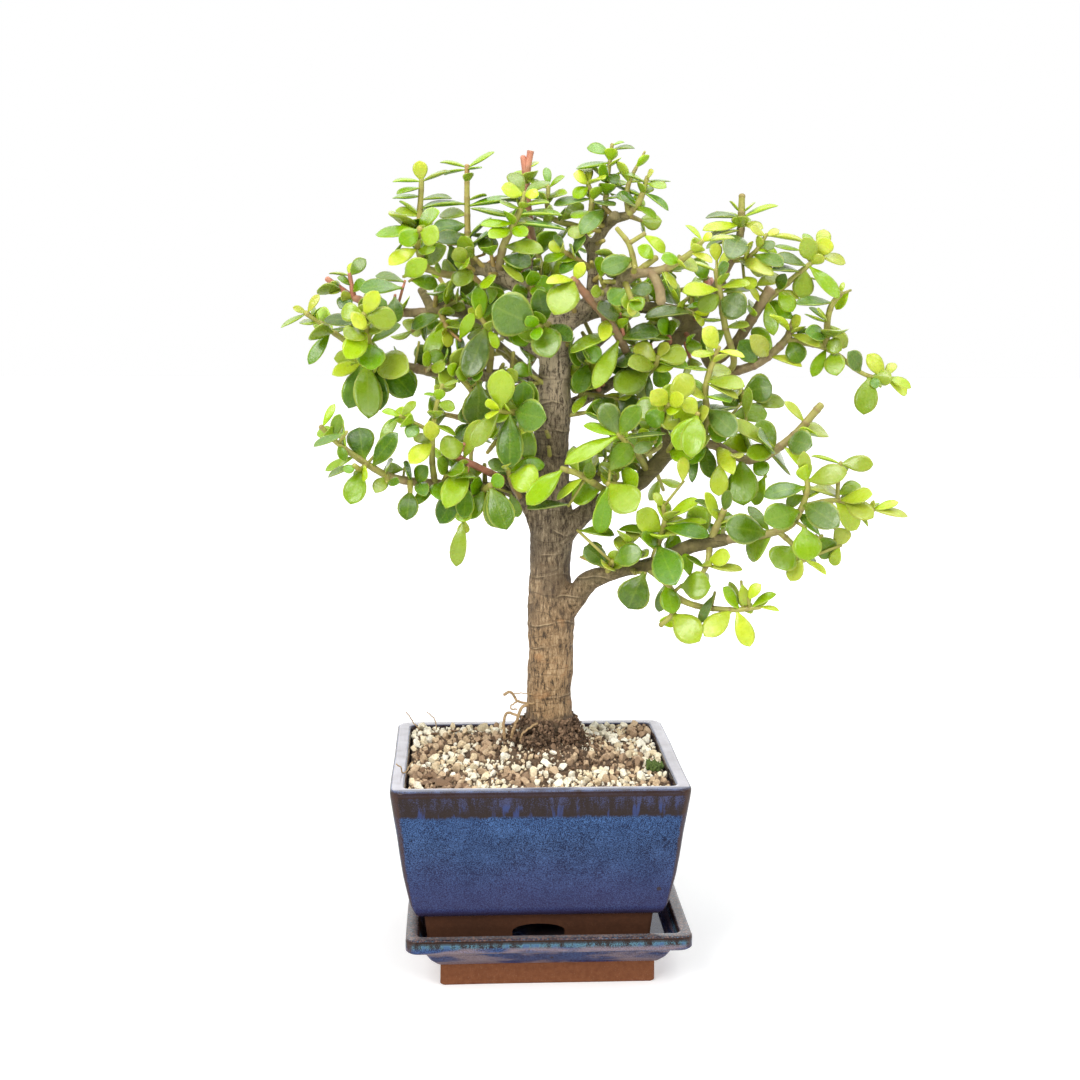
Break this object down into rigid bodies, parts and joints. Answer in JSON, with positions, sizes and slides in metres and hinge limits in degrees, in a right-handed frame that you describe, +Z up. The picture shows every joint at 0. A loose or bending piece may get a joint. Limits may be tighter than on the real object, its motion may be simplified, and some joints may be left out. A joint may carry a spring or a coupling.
{
  "type": "potted elephant bush bonsai",
  "caption": "Elephant bush trained as a small tree, standing in a blue glazed pot on a matching saucer",
  "frame": {"origin": "middle of the saucer's flat underside, on the table", "axes": "+Z up; +X along the pot's long side, to the right of someone facing its front; +Y away from them"},
  "size_m": [0.3257, 0.1756, 0.4246],
  "materials": {
    "pot_glaze": "mottled blue stoneware glaze with a dark brown band under the rim",
    "saucer_glaze": "speckled blue and brown stoneware glaze over a terracotta foot",
    "grit": "cream, tan and brown pumice and lava grit",
    "bark": "grey-brown bark with ring scars",
    "leaf": "fleshy smooth green leaves on pink and olive stems"
  },
  "bodies": {
    "root": {"pot": "pot_glaze", "saucer": "saucer_glaze", "soil": "grit", "spray_back_inner": "leaf", "spray_back_left": "leaf", "spray_back_low_left": "leaf", "spray_back_low_right": "leaf", "spray_back_middle": "leaf", "spray_back_right": "leaf", "spray_centre_front": "leaf", "spray_centre_up": "leaf", "spray_inner_right": "leaf", "spray_leader_low": "leaf", "spray_leader_tip": "leaf", "spray_left_centre": "leaf", "spray_left_far": "leaf", "spray_left_front": "leaf", "spray_left_inner": "leaf", "spray_left_knot": "leaf", "spray_left_low": "leaf", "spray_left_red": "leaf", "spray_left_shoots": "leaf", "spray_left_tall": "leaf", "spray_left_under": "leaf", "spray_left_upper": "leaf", "spray_low_right_dark": "leaf", "spray_low_right_drop": "leaf", "spray_low_right_end": "leaf", "spray_low_right_hang": "leaf", "spray_low_right_stub": "leaf", "spray_low_right_under": "leaf", "spray_low_right_up": "leaf", "spray_middle_left": "leaf", "spray_middle_pruned": "leaf", "spray_red_stem": "leaf", "spray_right_far": "leaf", "spray_right_horizontal": "leaf", "spray_right_inner": "leaf", "spray_right_low": "leaf", "spray_right_pruned": "leaf", "spray_right_top": "leaf", "spray_right_yellow": "leaf", "spray_top": "leaf", "spray_top_left": "leaf", "spray_trunk_front": "leaf", "spray_trunk_left": "leaf", "spray_trunk_top": "leaf", "spray_upper_inner": "leaf", "spray_upper_right": "leaf", "trunk": "bark"}
  },
  "joints": []
}
